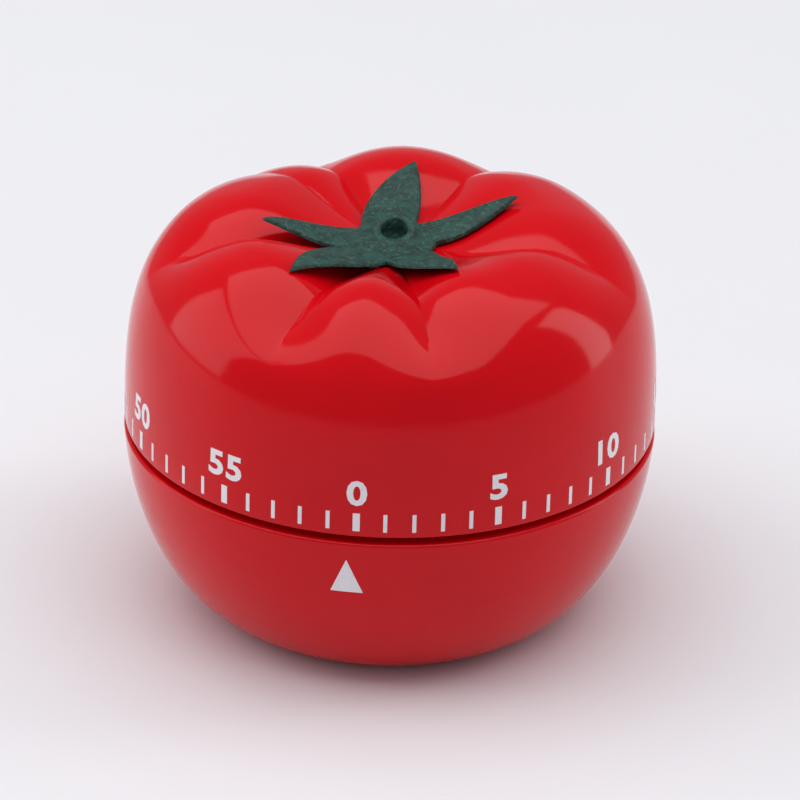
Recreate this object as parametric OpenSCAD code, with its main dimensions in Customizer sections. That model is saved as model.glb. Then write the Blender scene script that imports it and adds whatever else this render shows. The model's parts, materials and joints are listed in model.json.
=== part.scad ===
// Tomato-shaped one-hour kitchen timer: a lobed dial on a round base, with its spring movement inside.
// Origin at the centre of the underside, +Z up, the base's pointer mark at -Y.

/* [Casing] */
// Radius of the base at its rim
rim_r = 35; // [28.8:0.1:41.6]
// Radius of the flat underside
foot_r = 21; // [18:0.5:24]
// Height of the base's rim above the underside
rim_z = 24.6; // [20.5:0.1:29.5]
// Wall of the base
base_wall = 2; // [1.6:0.1:2.4]
// Thickness of the base's floor
floor_t = 2; // [1.6:0.1:3]
// How far the dial's lower edge stands in from the base's rim
dial_step = 0.2; // [0:0.1:1]
// Height of the dial's crown above its lower edge
dial_h = 28.8; // [24:0.1:34.6]
// Wall of the dial
dial_wall = 1.8; // [1.4:0.1:2.2]
// Open seam between the base's rim and the dial's lower edge
seam_gap = 1; // [0.6:0.1:1.6]

/* [Lobes] */
// Depth of the creases between the lobes
crease_depth = 3; // [0:0.1:3.6]
// How far the middle of the dial dips below its crown
dimple_depth = 4.4; // [1:0.1:5]

/* [Leaves] */
// Thickness of the leaves
leaf_t = 1; // [0.6:0.1:1.6]
// Outer radius of the stem stub
stem_r = 2.8; // [2.6:0.1:3.4]
// Radius of the hole in the stem stub
stem_hole_r = 1.75; // [1.2:0.05:2]
// Height of the stem stub above the leaves
stem_h = 1.3; // [0.8:0.1:4]

/* [Movement] */
// Radius of the two plates
plate_r = 24; // [23.5:0.1:26]
// Thickness of each plate
plate_t = 1; // [0.8:0.1:1.2]
// Underside of the lower plate above the underside of the base
plate_z = 13; // [12.5:0.1:14]
// Clear height between the plates
plate_gap = 17; // [17:0.1:20.4]
// Radius of the winding shaft
shaft_r = 2.5; // [2.1:0.1:3]
// Radius of the small arbors
arbor_r = 0.8; // [0.66:0.02:0.96]
// Radial clearance of everything that turns
run = 0.05; // [0.02:0.01:0.08]
// Tooth module of the main wheel and the barrel
big_module = 0.4; // [0.36:0.01:0.42]
// Tooth module of the other wheels
small_module = 0.3; // [0.27:0.01:0.31]

/* [Bell] */
// Outer radius of the bell
bell_r = 14; // [11.6:0.1:16.8]
// Wall of the bell
bell_wall = 0.8; // [0.5:0.1:1]
// Depth of the bell
bell_h = 6.5; // [5:0.1:7]

/* [Hidden] */
$fn = 48;

shell_red = [0.70, 0.04, 0.06];
leaf_green = [0.10, 0.28, 0.23];
brass = [0.78, 0.62, 0.30];
steel = [0.66, 0.67, 0.69];
eps = 0.01;
// How far a cutter runs past what it cuts
cut = 1;

// Outline of the base: a superellipse from the flat foot up to the rim.
base_power = 1.84;
rim_rise = 1.5;
base_top_z = rim_z + rim_rise;
base_steps = 22;
slope_step = 0.2;
rim_round = 0.5;
floor_round = 0.5;
// Lip that stands inside the dial's lower edge
lip_over = 1.2;
lip_h = seam_gap + lip_over;
lip_gap = 0.5;
lip_t = 1.2;
lip_root = 2;

// Outline of the dial: a flatter superellipse from the skirt over to the crown.
dial_r = rim_r - dial_step;
dial_z = rim_z + seam_gap;
crown_flat_r = 5.2;
dial_height_power = 3.09;
dial_radius_power = 4.2;
dimple_flat_r = 5;
dimple_r = 21;
// Creases: bearing counter-clockwise from +X, and share of the full depth
creases = [[71, 0.72], [122, 0.9], [144, 0.42], [197, 0.95], [251, 1], [290, 0.95], [355, 0.6]];
// Angle that each side of a crease spreads over
crease_spread = 26;
crease_power = 2;
crease_start_r = 3;
crease_full_r = 17;
crease_fade_z = dial_z + 0.68 * dial_h;
crease_full_z = dial_z + 0.94 * dial_h;
lobe_step = 6;
skirt_angles = [0, 5, 11, 17, 24, 31, 38, 45, 52, 59, 66, 72, 77, 81, 84.5];
dimple_radii = [12.5, 10, 7.5, 5];

// Hub under the dial, with the socket for the shaft
hub_wall = 1.7;
hub_r = shaft_r + hub_wall;
hub_lift = 5;
hub_z = plate_z + 2 * plate_t + plate_gap + hub_lift;
hub_sunk = 0.4;
shaft_gap = 3;
shaft_top_z = dial_z + dial_h - dimple_depth - dial_wall - shaft_gap;
shaft_flat = 0.6;
socket_gap = 0.2;
peg_r = 2;
peg_l = 2.2;

// Leaves: bearing of the tip, length, the angles that the root spreads over to either side of the tip,
// and how far the tip stands above the crown
leaves = [[29, 17, 30, 34, 0.6], [91, 17.2, 23, 62, 0], [197, 17.3, 34, 34, 0],
    [240, 20.5, 34, 46, -1], [308, 17.3, 50, 28, 0]];
leaf_root_r = 5.6;
leaf_power = 1.5;
leaf_rise_power = 3;
leaf_lift = 0.3;
leaf_columns = 100;
leaf_steps = 8;
leaf_taper = 0.4;
stem_flare = 0.6;
stem_round = 0.4;

// Screws that hold the movement in the base
boss_r = 2.7;
bell_gap = 1.1;
mount_r = bell_r + bell_gap + boss_r;
mount_angles = [37.5, 157.5, 277.5];
screw_r = 1.1;
screw_tip = 0.4;
screw_head_r = 2;
screw_head_t = 1.2;
recess_t = 1.5;
recess_gap = 0.2;
cross_l = 2.6;
slot_w = 0.5;
slot_t = 0.6;

lower_top = plate_z + plate_t;
upper_bottom = lower_top + plate_gap;
upper_top = upper_bottom + plate_t;

// Pillars between the plates: bearing and distance from the centre
pillars = [[140, 21], [300, 20.5], [340, 20.5]];
pillar_r = 1.9;
tail_r = 1.2;
small_screw_r = 0.8;
small_screw_l = 4;
small_head_r = 1.6;
small_head_t = 0.9;
small_slot_w = 0.4;
small_slot_t = 0.4;

// Tooth counts
main_teeth = 72;
second_leaves = 12;
second_teeth = 60;
third_leaves = 10;
third_teeth = 56;
escape_leaves = 8;
escape_teeth = 20;
barrel_teeth = 70;
alarm_leaves = 10;
alarm_teeth = 48;
star_leaves = 8;
star_teeth = 12;

// Distance between two meshing axes
function centres(teeth_a, teeth_b, module_mm) = module_mm * (teeth_a + teeth_b) / 2;
function polar(r, a) = [r * cos(a), r * sin(a)];
function bearing(from, to) = atan2(to[1] - from[1], to[0] - from[0]);

// Each arbor stands at its meshing distance from the one before it.
centre = [0, 0];
shaft_foot_r = shaft_r - 1;
second_at = polar(centres(main_teeth, second_leaves, big_module), 20);
third_at = second_at + polar(centres(second_teeth, third_leaves, small_module), 121.2);
escape_at = third_at + polar(centres(third_teeth, escape_leaves, small_module), 154.1);
escape_r = 6;
escape_tooth = 1.3;
escape_window_r = 1;
escape_window_at_r = 2.9;
pallet_reach = 1.5;
pallet_at = escape_at + polar(escape_r + pallet_reach, 190.1);
alarm_at = polar(centres(barrel_teeth, alarm_leaves, big_module), 215);
star_at = alarm_at + polar(centres(alarm_teeth, star_leaves, small_module), 301.7);
star_r = 3.8;
star_tooth = 1.2;
hammer_reach = 2.4;
hammer_at = star_at + polar(star_r + hammer_reach, 336.9);
lever_r = 18;
lever_bearing = 290;
lever_at = polar(lever_r, lever_bearing);

// Heights between the plates, each above the lower plate's upper face
wheel_t = 1;
thin_t = 0.8;
wheel_gap = 0.8;
barrel_z = lower_top + 2 * wheel_gap + thin_t;
barrel_floor_t = 1;
barrel_r = 11;
barrel_wall = 0.7;
barrel_h = 5.4;
cover_t = 0.6;
main_z = barrel_z + barrel_h + cover_t + wheel_gap;
ratchet_gap = 0.2;
ratchet_z = main_z + wheel_t + ratchet_gap;
second_gap = 0.6;
second_z = ratchet_z + thin_t + second_gap;
third_gap = 0.9;
third_z = second_z + thin_t + third_gap;
escape_gap = 1;
escape_z = third_z + thin_t + escape_gap;
alarm_z = lower_top + wheel_gap;
star_z = barrel_z + barrel_floor_t + wheel_gap;
lock_rise = 3;
lock_z = star_z + lock_rise;
finger_l = 2.4;
finger_w = 0.8;
lock_gap = 0.3;
leaf_over = 0.3;
boss_share = 1.3;
end_play = 0.1;
hub_wheel_r = 1.9;

pivot_r = 0.5;
pivot_over = 0.3;

// Tooth heights and depths, as shares of the module
wheel_head = 1.1;
wheel_shoulder = 0.55;
wheel_root = 1.25;
pinion_head = 0.7;
pinion_shoulder = 0.4;
pinion_root = 1.5;
pinion_core = 1.33;
window_share = 0.3;
window_count = 5;

// Anchors: arm width, wall round the arbor, pin radius and how far the pins stand past the arms
anchor_w = 0.7;
anchor_wall = 0.6;
pin_r = 0.3;
pin_over = 0.2;
pallet_gap = 0.6;
pallet_pitches = 1.75;
star_gap = 0.9;
star_half_span = 37.5;

// Balance bar: a strip with a weight near each end
balance_l = 12;
balance_w = 1.2;
balance_t = 1;
balance_rise = 0.6;
weight_r = 1.2;
weight_h = 2;
weight_at_r = 5.2;
balance_hub_r = 1.6;
balance_hub_h = 1.4;

spring_turns = 6;
spring_t = 0.4;
spring_steps = 22;
spring_inner_gap = 0.5;
spring_outer_gap = 0.15;
spring_end_gap = 0.2;

ratchet_r = 6.4;
ratchet_tooth = 0.8;
ratchet_teeth = 24;
click_r = 9.2;
click_post_r = 0.7;
click_w = 0.5;
click_gap = 0.35;
click_angle = 40;

stop_gap = 0.4;
stop_z = upper_top + stop_gap;
stop_t = 0.7;
stop_r = 12.5;
stop_tab_l = 2;
stop_w = 0.8;
// Winding stops 351 degrees from where the dial runs down to
wind_angle = 351;
finger_angle = 60;
tab_angle = finger_angle - wind_angle / 2 - 180;
cam_z = stop_z + stop_t + stop_gap;
cam_t = 0.8;
cam_r = 8;
cam_hub_wall = 1.5;
cam_hub_r = shaft_r + cam_hub_wall;
notch_w = 3.6;
notch_depth = 3;
nose_r = 0.6;
nose_gap = 0.25;
nose_at_r = cam_r + nose_r + nose_gap;
lever_reach = sqrt(lever_r * lever_r - nose_at_r * nose_at_r);
nose_angle = lever_bearing - acos(nose_at_r / lever_r);
lever_w = 1.2;
arm_w = 0.9;
arm_end_gap = 0.3;
spring_leaf_t = 0.25;
spring_leaf_gap = 0.15;
spring_post_r = 1.3;
spring_post_in = 0.1;
spring_foot_share = 0.19;
spring_leaf_share = 0.5;

bell_post_h = 2.2;
bell_z = floor_t + bell_post_h;
bell_foot_r = 4;
bell_bore_r = 1.5;
bell_bend = 4;
bell_screw_r = bell_bore_r - 0.2;
bell_screw_z = 0.7;
bell_hole_z = 0.6;
bell_head_r = 2.6;
bell_head_t = 1.4;
bell_slot_w = 0.6;
head_r = 1.5;
head_h = 3;
hammer_gap = 1;
hammer_bearing = 232;
head_at = polar(bell_r + head_r + hammer_gap, hammer_bearing);
head_drop = 0.4;
hammer_z = bell_z + bell_h - head_h - head_drop;
hammer_rod_z = hammer_z + 0.9;
hammer_rod_w = 1;
hammer_hub_r = 1.6;
hammer_hub_h = 2.4;

function smooth(x) = let (c = min(max(x, 0), 1)) c * c * (3 - 2 * c);

// ---- casing outlines -------------------------------------------------------------------------

// Outer radius of the base at height z
function base_radius(z) = foot_r + (rim_r - foot_r)
    * pow(1 - pow(max(base_top_z - z, 0) / base_top_z, base_power), 1 / base_power);
// Outer radius less the wall, measured square to the wall
function base_inside(z) = let (
    slope = (base_radius(z + slope_step) - base_radius(z - slope_step)) / (2 * slope_step))
    base_radius(z) - base_wall * sqrt(1 + slope * slope);
function base_level(i) = (rim_z - rim_round) * (1 - cos(90 * i / base_steps));

// How far the dial dips at radius r
function dip(r) = dimple_depth * (1 - smooth((r - dimple_flat_r) / (dimple_r - dimple_flat_r)));
// Height of the dial's crown line at radius r, before the creases
function crown_z(r) = let (k = max(r - crown_flat_r, 0) / (dial_r - crown_flat_r))
    dial_z + dial_h * pow(1 - pow(min(k, 1), dial_radius_power), 1 / dial_height_power) - dip(r);
function skirt_point(a) = [
    crown_flat_r + (dial_r - crown_flat_r) * pow(cos(a), 2 / dial_radius_power),
    dial_z + dial_h * pow(sin(a), 2 / dial_height_power)];
function dial_profile() = concat(
    [for (a = skirt_angles) let (p = skirt_point(a)) [p[0], p[1] - dip(p[0])]],
    [for (r = dimple_radii) [r, crown_z(r)]]);
function normal_at(line, i) = let (
    a = line[max(i - 1, 0)], b = line[min(i + 1, len(line) - 1)], d = b - a)
    [d[1], -d[0]] / norm(d);
// Depth of a crease along the profile: none at the middle, full on the crown, none on the skirt
function crease_at(p) = crease_depth
    * smooth((p[0] - crease_start_r) / (crease_full_r - crease_start_r))
    * smooth((p[1] + dip(p[0]) - crease_fade_z) / (crease_full_z - crease_fade_z));

// Bearings of the dial's columns, with one along every crease
function lobe_width(i) = (creases[(i + 1) % len(creases)][0] - creases[i][0] + 360) % 360;
function lobe_columns() = [for (i = [0 : len(creases) - 1])
    let (w = lobe_width(i), n = ceil(w / lobe_step)) for (k = [0 : n - 1]) creases[i][0] + w * k / n];

function turn(a, b) = (a - b + 540) % 360 - 180;
// Depth at a bearing as a share of the full depth: the sum of all the creases' sides
function crease_share(a) = [for (c = creases)
    c[1] * pow(max(0, 1 - abs(turn(a, c[0])) / crease_spread), crease_power)] * [for (c = creases) 1];

function surface_point(a, share, p, n, inset) = let (d = inset + crease_at(p) * share, r = p[0] - n[0] * d)
    [r * cos(a), r * sin(a), p[1] - n[1] * d];

// Closed skin of the dial: outer and inner surface, joined along the lower edge
module dial_skin() {
    line = dial_profile();
    columns = lobe_columns();
    rows = len(line);
    wide = len(columns);
    shares = [for (a = columns) crease_share(a)];
    function skin_points(inset) = [for (row = [0 : rows - 1])
        let (n = row == 0 ? [1, 0] : normal_at(line, row))
        for (k = [0 : wide - 1]) surface_point(columns[k], shares[k], line[row], n, inset)];
    outer = skin_points(0);
    inner = skin_points(dial_wall);
    outer_pole = [0, 0, crown_z(0)];
    inner_pole = [0, 0, crown_z(0) - dial_wall];
    points = concat(outer, inner, [outer_pole, inner_pole]);
    skin = rows * wide;
    function at(row, k) = row * wide + k % wide;
    bands = [for (row = [0 : rows - 2]) for (k = [0 : wide - 1]) each [
        [at(row, k), at(row + 1, k), at(row + 1, k + 1)],
        [at(row, k), at(row + 1, k + 1), at(row, k + 1)],
        [skin + at(row, k), skin + at(row + 1, k + 1), skin + at(row + 1, k)],
        [skin + at(row, k), skin + at(row, k + 1), skin + at(row + 1, k + 1)]]];
    caps = [for (k = [0 : wide - 1]) each [
        [at(rows - 1, k), 2 * skin, at(rows - 1, k + 1)],
        [skin + at(rows - 1, k), skin + at(rows - 1, k + 1), 2 * skin + 1],
        [at(0, k), at(0, k + 1), skin + at(0, k + 1)],
        [at(0, k), skin + at(0, k + 1), skin + at(0, k)]]];
    polyhedron(points, concat(bands, caps), convexity = 8);
}

// ---- small building blocks -------------------------------------------------------------------

// Cutter for a round hole through something h thick
module bore(r, h) translate([0, 0, -cut]) cylinder(r = r, h = h + 2 * cut);

// Ring with a bore
module ring(outer_r, inner_r, h) {
    difference() {
        cylinder(r = outer_r, h = h);
        bore(inner_r, h);
    }
}

// Flat bar with a round boss at each end, from one point to another
module bar(from, to, w, h) {
    length = norm(to - from);
    translate([from[0], from[1], 0]) rotate(bearing(from, to))
        translate([0, -w / 2, 0]) cube([length, w, h]);
    for (p = [from, to]) translate([p[0], p[1], 0]) cylinder(d = w * boss_share, h = h);
}

// Points round a toothed wheel whose teeth all have the same side
function teeth_points(teeth, r, module_mm, phase, side) = [for (i = [0 : teeth - 1]) each concat(
    [for (p = side) polar(r + p[0] * module_mm, phase + (i - p[1]) * 360 / teeth)],
    [for (k = [len(side) - 1 : -1 : 0]) let (p = side[k])
        polar(r + p[0] * module_mm, phase + (i + p[1]) * 360 / teeth)])];

// Clock wheel outline: tooth flanks up to the pitch circle, then a pointed head
module wheel_outline(teeth, module_mm, phase) {
    r = module_mm * teeth / 2;
    // One side of a tooth: height in modules, and distance from its middle in pitches
    side = [[-wheel_root, 0.23], [0, 0.21], [wheel_shoulder, 0.165], [wheel_head, 0.06]];
    polygon(teeth_points(teeth, r, module_mm, phase, side));
}

// Pinion outline: thin radial leaves with rounded heads
module pinion_outline(leaf_count, module_mm, phase) {
    r = module_mm * leaf_count / 2;
    side = [[-pinion_root, 0.12], [0, 0.16], [pinion_shoulder, 0.13], [pinion_head, 0.07]];
    polygon(teeth_points(leaf_count, r, module_mm, phase, side));
}

// Toothed wheel on its arbor: a tooth points along mesh_bearing; crossed out by round windows
module wheel(at, teeth, module_mm, mesh_bearing, h, bore_r, windows) {
    web_r = module_mm * teeth / 2 - 1.5 * module_mm;
    translate([at[0], at[1], 0]) difference() {
        linear_extrude(h) wheel_outline(teeth, module_mm, mesh_bearing);
        bore(bore_r, h);
        for (i = [0 : 1 : windows - 1])
            rotate(mesh_bearing + 360 * (i + 0.5) / windows)
                translate([(web_r + hub_wheel_r) / 2, 0, 0]) bore((web_r - hub_wheel_r) * window_share, h);
    }
}

// Plain arbor from the lower plate to the upper one, with a pinion cut on it and a thinner pivot at each end
module arbor(at, pinion_leaves, module_mm, pinion_z, pinion_h, mesh_bearing) {
    translate([at[0], at[1], 0]) {
        translate([0, 0, plate_z - pivot_over])
            cylinder(r = pivot_r, h = upper_top - plate_z + 2 * pivot_over);
        core_r = pinion_leaves > 0 ? module_mm * (pinion_leaves / 2 - pinion_core) : arbor_r;
        difference() {
            translate([0, 0, lower_top + end_play]) cylinder(r = arbor_r, h = plate_gap - 2 * end_play);
            // A thick arbor is turned down to the foot of its pinion's leaves
            if (core_r < arbor_r) translate([0, 0, pinion_z]) ring(arbor_r + cut, core_r, pinion_h);
        }
        if (pinion_leaves > 0) translate([0, 0, pinion_z])
            linear_extrude(pinion_h) pinion_outline(pinion_leaves, module_mm, mesh_bearing);
    }
}

// The pinion that a wheel at "from" drives has a gap, not a leaf, on the line of centres.
function gap_towards(at, from, leaf_count) = bearing(at, from) + 180 / leaf_count;

// Anchor with two round pins that straddle a toothed wheel; the pins stand just clear of its teeth
module anchor(at, wheel_at, pin_from_wheel, half_span, h, bore_r) {
    towards = bearing(wheel_at, at);
    difference() {
        union() {
            for (side = [-1, 1]) {
                pin_at = wheel_at + polar(pin_from_wheel, towards + side * half_span);
                bar(at, pin_at, anchor_w, h);
                translate([pin_at[0], pin_at[1], 0]) cylinder(r = pin_r, h = h + pin_over);
            }
            translate([at[0], at[1], 0]) cylinder(r = bore_r + anchor_wall, h = h);
        }
        translate([at[0], at[1], 0]) bore(bore_r, h);
    }
}

// ---- casing ----------------------------------------------------------------------------------

module lower_shell() color(shell_red) {
    inner_levels = [for (i = [0 : base_steps]) let (z = base_level(i)) if (z > floor_t + floor_round) z];
    outer = [for (i = [0 : base_steps]) let (z = base_level(i)) [base_radius(z), z]];
    rim_top_r = base_radius(rim_z) - rim_round;
    rim = [for (a = [30, 60, 90]) [rim_top_r + rim_round * cos(a), rim_z - rim_round + rim_round * sin(a)]];
    inner = [for (i = [len(inner_levels) - 1 : -1 : 0]) [base_inside(inner_levels[i]), inner_levels[i]]];
    lip_r = dial_r - dial_wall - lip_gap;
    lip = [[lip_r, rim_z], [lip_r, rim_z + lip_h], [lip_r - lip_t, rim_z + lip_h],
        [lip_r - lip_t, rim_z - lip_root]];
    corner_r = base_inside(floor_t + floor_round) - 2 * floor_round;
    difference() {
        union() {
            rotate_extrude($fn = 96)
                polygon(concat([[0, 0]], outer, rim, lip, inner, [[corner_r, floor_t], [0, floor_t]]));
            for (a = mount_angles) rotate(a) translate([mount_r, 0, floor_t - eps])
                cylinder(r = boss_r, h = plate_z - floor_t + eps);
        }
        for (a = mount_angles) rotate(a) translate([mount_r, 0, 0]) {
            bore(screw_r + run, plate_z);
            translate([0, 0, -cut]) cylinder(r = screw_head_r + recess_gap, h = recess_t + cut);
        }
        translate([0, 0, bell_hole_z]) cylinder(r = bell_screw_r, h = floor_t);
    }
}

module upper_shell() color(shell_red) {
    hub_top = crown_z(0) - dial_wall + hub_sunk;
    socket_h = shaft_top_z + socket_gap - hub_z + cut;
    grip_x = shaft_r - shaft_flat + run;
    difference() {
        union() {
            dial_skin();
            translate([0, 0, hub_z]) cylinder(r = hub_r, h = hub_top - hub_z);
        }
        // Socket for the shaft, flat on one side
        intersection() {
            translate([0, 0, hub_z - cut]) cylinder(r = shaft_r + run, h = socket_h);
            translate([grip_x - 2 * hub_r, -hub_r, hub_z - 2 * cut])
                cube([2 * hub_r, 2 * hub_r, socket_h + 2 * cut]);
        }
        translate([0, 0, crown_z(0) - peg_l - socket_gap])
            cylinder(r = peg_r + run, h = peg_l + socket_gap + cut);
    }
}

// Reach of the leaf star at a bearing
// Share of a leaf's length at a bearing, before its power: 1 at the tip's bearing, 0 off the leaf
function on_leaf(l, a) = let (t = turn(a, l[0])) max(0, 1 - abs(t) / (t < 0 ? l[2] : l[3]));
function reach(a) = leaf_root_r
    + max([for (l = leaves) (l[1] - leaf_root_r) * pow(on_leaf(l, a), leaf_power)]);
// How far the tip stands above the crown at a bearing
function tip_rise(a) = [for (l = leaves) l[4] * pow(on_leaf(l, a), leaf_rise_power)] * [for (l = leaves) 1];

// Leaf star, hollow stem stub and peg as one closed skin of rings, from the bottom of the hole to the peg
module calyx() {
    seat_z = crown_z(0) + leaf_lift;
    stem_z = seat_z + leaf_t;
    top_z = stem_z + stem_h;
    stem_rings = [[stem_hole_r - stem_round, stem_z - stem_round], [stem_hole_r, stem_z],
        [stem_hole_r, top_z - stem_round], [(stem_hole_r + stem_r) / 2, top_z],
        [stem_r, top_z - stem_round], [stem_r + stem_flare / 4, stem_z + stem_round]];
    root_r = stem_r + stem_flare;
    function leaf_ring(lift, thickness, f, a) = let (r = root_r + f * (reach(a) - root_r))
        [r * cos(a), r * sin(a), crown_z(r) + tip_rise(a) * f * f + lift + thickness * (1 - leaf_taper * f)];
    bearings = [for (k = [0 : leaf_columns - 1]) 360 * k / leaf_columns];
    steps = [for (i = [0 : leaf_steps]) i / leaf_steps];
    peg_rings = [[peg_r, seat_z], [peg_r, seat_z - peg_l]];
    points = concat(
        [for (ring = stem_rings) for (a = bearings) [ring[0] * cos(a), ring[0] * sin(a), ring[1]]],
        [for (f = steps) for (a = bearings) leaf_ring(leaf_lift, leaf_t, f, a)],
        [for (i = [leaf_steps : -1 : 0]) for (a = bearings) leaf_ring(leaf_lift, 0, steps[i], a)],
        [for (ring = peg_rings) for (a = bearings) [ring[0] * cos(a), ring[0] * sin(a), ring[1]]],
        [[0, 0, stem_z - stem_round], [0, 0, seat_z - peg_l]]);
    rows = len(stem_rings) + 2 * len(steps) + len(peg_rings);
    last = rows * leaf_columns;
    function at(row, k) = row * leaf_columns + k % leaf_columns;
    bands = [for (row = [0 : rows - 2]) for (k = [0 : leaf_columns - 1]) each [
        [at(row, k), at(row + 1, k + 1), at(row + 1, k)],
        [at(row, k), at(row, k + 1), at(row + 1, k + 1)]]];
    caps = [for (k = [0 : leaf_columns - 1]) each [
        [last, at(0, k + 1), at(0, k)],
        [last + 1, at(rows - 1, k), at(rows - 1, k + 1)]]];
    color(leaf_green) polyhedron(points, concat(bands, caps), convexity = 8);
}

module mounting_screws() color(steel) {
    for (a = mount_angles) rotate(a) translate([mount_r, 0, recess_t - screw_head_t]) difference() {
        union() {
            cylinder(r = screw_head_r, h = screw_head_t);
            cylinder(r = screw_r, h = lower_top + screw_tip - (recess_t - screw_head_t));
        }
        // Cross slot
        for (q = [0, 90]) rotate(q) translate([-cross_l / 2, -slot_w / 2, -eps])
            cube([cross_l, slot_w, slot_t]);
    }
}

// ---- frame of the movement -------------------------------------------------------------------

arbors = [second_at, third_at, escape_at, pallet_at, alarm_at, star_at];

module lower_plate() color(brass) {
    translate([0, 0, plate_z]) difference() {
        cylinder(r = plate_r, h = plate_t, $fn = 96);
        bore(shaft_foot_r + run, plate_t);
        for (p = arbors) translate([p[0], p[1], 0]) bore(pivot_r + run, plate_t);
        for (p = [hammer_at, lever_at]) translate([p[0], p[1], 0]) bore(arbor_r + run, plate_t);
        for (a = mount_angles) rotate(a) translate([mount_r, 0, 0]) bore(screw_r, plate_t);
        for (p = pillars) rotate(p[0]) translate([p[1], 0, 0]) bore(tail_r, plate_t);
    }
}

module upper_plate() color(brass) {
    difference() {
        union() {
            translate([0, 0, upper_bottom]) cylinder(r = plate_r, h = plate_t, $fn = 96);
            // Bent-up tab that stops the dial at both ends of its turn
            rotate(tab_angle) translate([stop_r - stop_tab_l, -stop_w / 2, upper_bottom + plate_t / 2])
                cube([stop_tab_l, stop_w, stop_z + stop_t - upper_bottom - plate_t / 2]);
        }
        translate([0, 0, upper_bottom]) {
            bore(shaft_r + run, plate_t);
            for (p = concat(arbors, [hammer_at])) translate([p[0], p[1], 0]) bore(pivot_r + run, plate_t);
            translate([lever_at[0], lever_at[1], 0]) bore(arbor_r + run, plate_t);
            for (p = pillars) rotate(p[0]) translate([p[1], 0, 0]) bore(small_screw_r, plate_t);
        }
    }
}

module frame_pillars() color(steel) {
    for (p = pillars) rotate(p[0]) translate([p[1], 0, 0]) difference() {
        union() {
            translate([0, 0, plate_z]) cylinder(r = tail_r, h = plate_t + eps);
            translate([0, 0, lower_top]) cylinder(r = pillar_r, h = plate_gap);
        }
        translate([0, 0, upper_bottom - small_screw_l - cut])
            cylinder(r = small_screw_r, h = small_screw_l + 2 * cut);
    }
}

module plate_screws() color(steel) {
    for (p = pillars) rotate(p[0]) translate([p[1], 0, 0]) difference() {
        union() {
            translate([0, 0, upper_bottom - small_screw_l])
                cylinder(r = small_screw_r, h = plate_t + small_screw_l + eps);
            translate([0, 0, upper_top]) cylinder(r = small_head_r, h = small_head_t);
        }
        translate([-small_head_r - cut, -small_slot_w / 2, upper_top + small_head_t - small_slot_t])
            cube([2 * (small_head_r + cut), small_slot_w, small_slot_t + cut]);
    }
}

// ---- winding shaft and spring ----------------------------------------------------------------

module main_shaft() color(steel) {
    difference() {
        union() {
            translate([0, 0, plate_z - pivot_over])
                cylinder(r = shaft_foot_r, h = plate_t + 2 * pivot_over);
            translate([0, 0, lower_top + end_play])
                cylinder(r = shaft_r, h = shaft_top_z - lower_top - end_play);
        }
        // Flat that the dial's socket grips
        translate([shaft_r - shaft_flat, -shaft_r, hub_z - cut])
            cube([shaft_r, 2 * shaft_r, shaft_top_z - hub_z + 2 * cut]);
    }
}

module barrel() color(brass) {
    translate([0, 0, barrel_z]) {
        wheel(centre, barrel_teeth, big_module, bearing(centre, alarm_at), barrel_floor_t, shaft_r + run, 0);
        translate([0, 0, barrel_floor_t - eps])
            ring(barrel_r, barrel_r - barrel_wall, barrel_h - barrel_floor_t + eps);
    }
}

module barrel_cover() color(brass) {
    translate([0, 0, barrel_z + barrel_h]) ring(barrel_r, shaft_r + run, cover_t);
}

module mainspring() {
    first_r = shaft_r + spring_inner_gap;
    last_r = barrel_r - barrel_wall - spring_outer_gap - spring_t;
    steps = spring_turns * spring_steps;
    function coil_r(i) = first_r + (last_r - first_r) * i / steps;
    inside = [for (i = [0 : steps]) polar(coil_r(i), 360 * i / spring_steps)];
    outside = [for (i = [steps : -1 : 0]) polar(coil_r(i) + spring_t, 360 * i / spring_steps)];
    color(steel) translate([0, 0, barrel_z + barrel_floor_t + spring_end_gap])
        linear_extrude(barrel_h - barrel_floor_t - 2 * spring_end_gap) polygon(concat(inside, outside));
}

module barrel_spacer() color(brass) {
    translate([0, 0, lower_top]) ring(shaft_r + 1, shaft_r + run, barrel_z - lower_top - end_play);
}

module main_wheel() color(brass) {
    translate([0, 0, main_z])
        wheel(centre, main_teeth, big_module, bearing(centre, second_at), wheel_t, shaft_r + run, 0);
}

module click_pawls() color(steel) {
    tooth_gap = 360 / ratchet_teeth / 2;
    for (q = [0, 180]) rotate(q) translate([0, 0, main_z + wheel_t]) {
        post = polar(click_r, 0);
        nose = polar(ratchet_r + click_gap, click_angle + tooth_gap);
        translate([post[0], post[1], 0]) cylinder(r = click_post_r, h = ratchet_z - main_z - wheel_t + thin_t);
        translate([0, 0, ratchet_z - main_z - wheel_t]) bar(post, nose, click_w, thin_t);
    }
}

module ratchet_wheel() color(steel) {
    pitch = 360 / ratchet_teeth;
    translate([0, 0, ratchet_z]) difference() {
        linear_extrude(thin_t) polygon([for (i = [0 : ratchet_teeth - 1])
            for (p = [[ratchet_r - ratchet_tooth, 0], [ratchet_r, 0.06]]) polar(p[0], (i + p[1]) * pitch)]);
        bore(shaft_r, thin_t);
    }
}

module cam_disc() color(brass) {
    difference() {
        union() {
            translate([0, 0, cam_z]) cylinder(r = cam_r, h = cam_t);
            translate([0, 0, stop_z]) cylinder(r = cam_hub_r, h = cam_z - stop_z + eps);
            // Finger that meets the stop tab
            rotate(finger_angle) translate([cam_hub_r - 1, -stop_w / 2, stop_z])
                cube([stop_r - cam_hub_r + 1, stop_w, stop_t]);
        }
        translate([0, 0, stop_z]) bore(shaft_r, cam_z + cam_t - stop_z);
        // Notch that the release lever drops into when the dial reaches zero
        rotate(nose_angle) translate([cam_r - notch_depth, -notch_w / 2, cam_z - cut / 4])
            cube([notch_depth + cut, notch_w, cam_t + cut]);
    }
}

// ---- going train -----------------------------------------------------------------------------

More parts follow.
